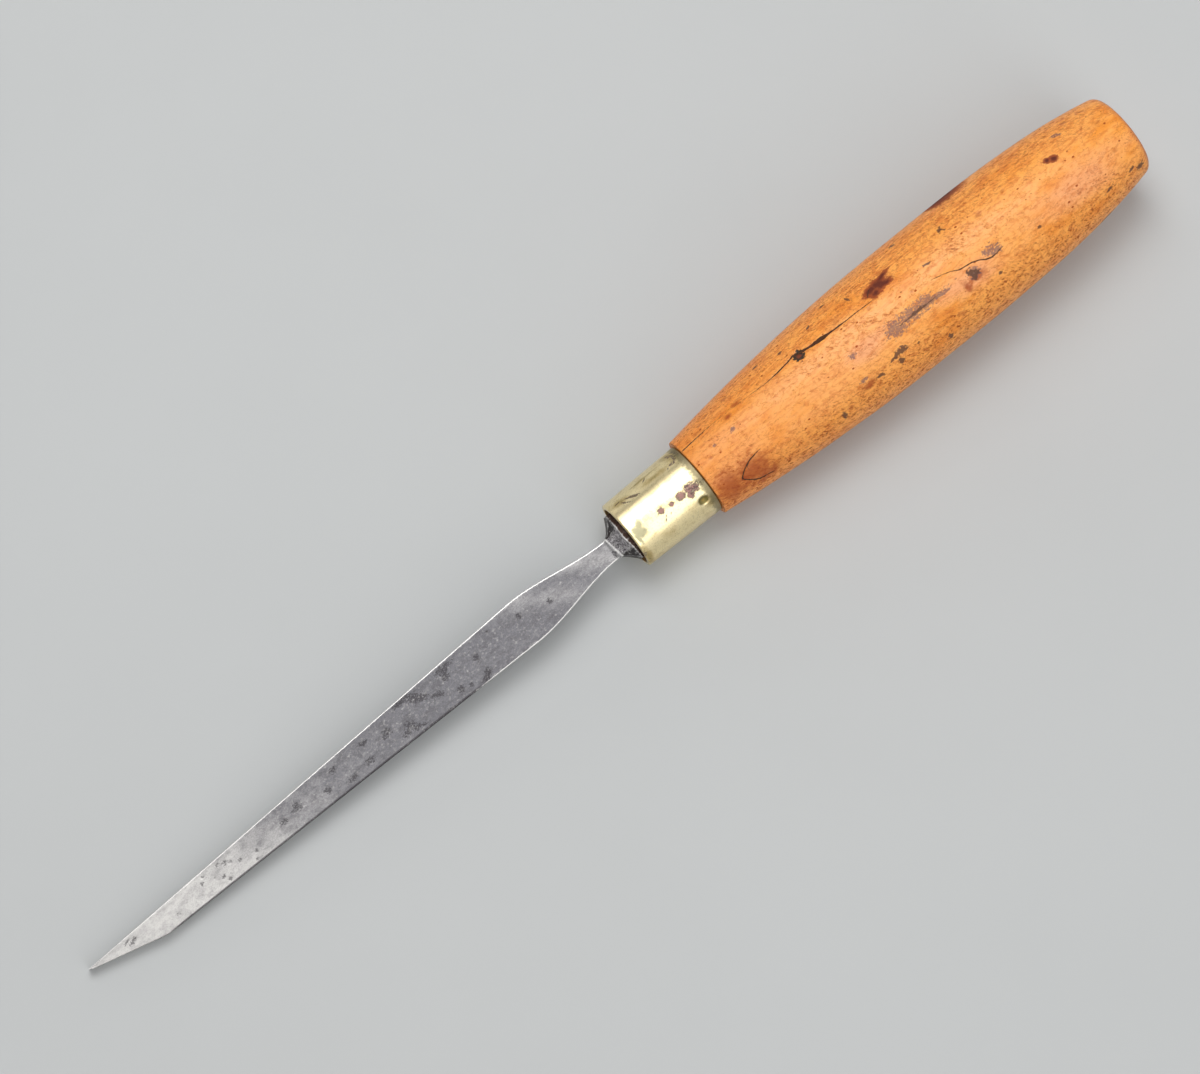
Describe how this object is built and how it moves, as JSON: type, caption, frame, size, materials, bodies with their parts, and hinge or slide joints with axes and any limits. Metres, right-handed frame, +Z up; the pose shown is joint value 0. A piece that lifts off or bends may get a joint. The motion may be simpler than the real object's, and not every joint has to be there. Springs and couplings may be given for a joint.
{
  "type": "flat carving chisel",
  "caption": "Slender flat carving chisel: a narrow deep steel blade with a ground bevel and an eight-sided bolster, a brass ferrule and a turned barrel-shaped boxwood handle.",
  "frame": {"origin": "on the bench, under the middle of the tool's bounding box", "axes": "+X from the cutting edge to the butt as the tool lies, +Y to the side that the blade's flat back faces, +Z up from the bench"},
  "size_m": [0.2718, 0.0262, 0.028],
  "materials": {
    "forged_steel": "forged and ground tool steel with a mottled grey patina, bright towards the cutting edge",
    "drawn_brass": "polished drawn brass with light scratches and tarnish spots",
    "boxwood": "oiled and hand-polished orange boxwood with dents, checks and dark stains"
  },
  "bodies": {
    "root": {"blade": "forged_steel", "ferrule": "drawn_brass", "handle": "boxwood"}
  },
  "joints": []
}
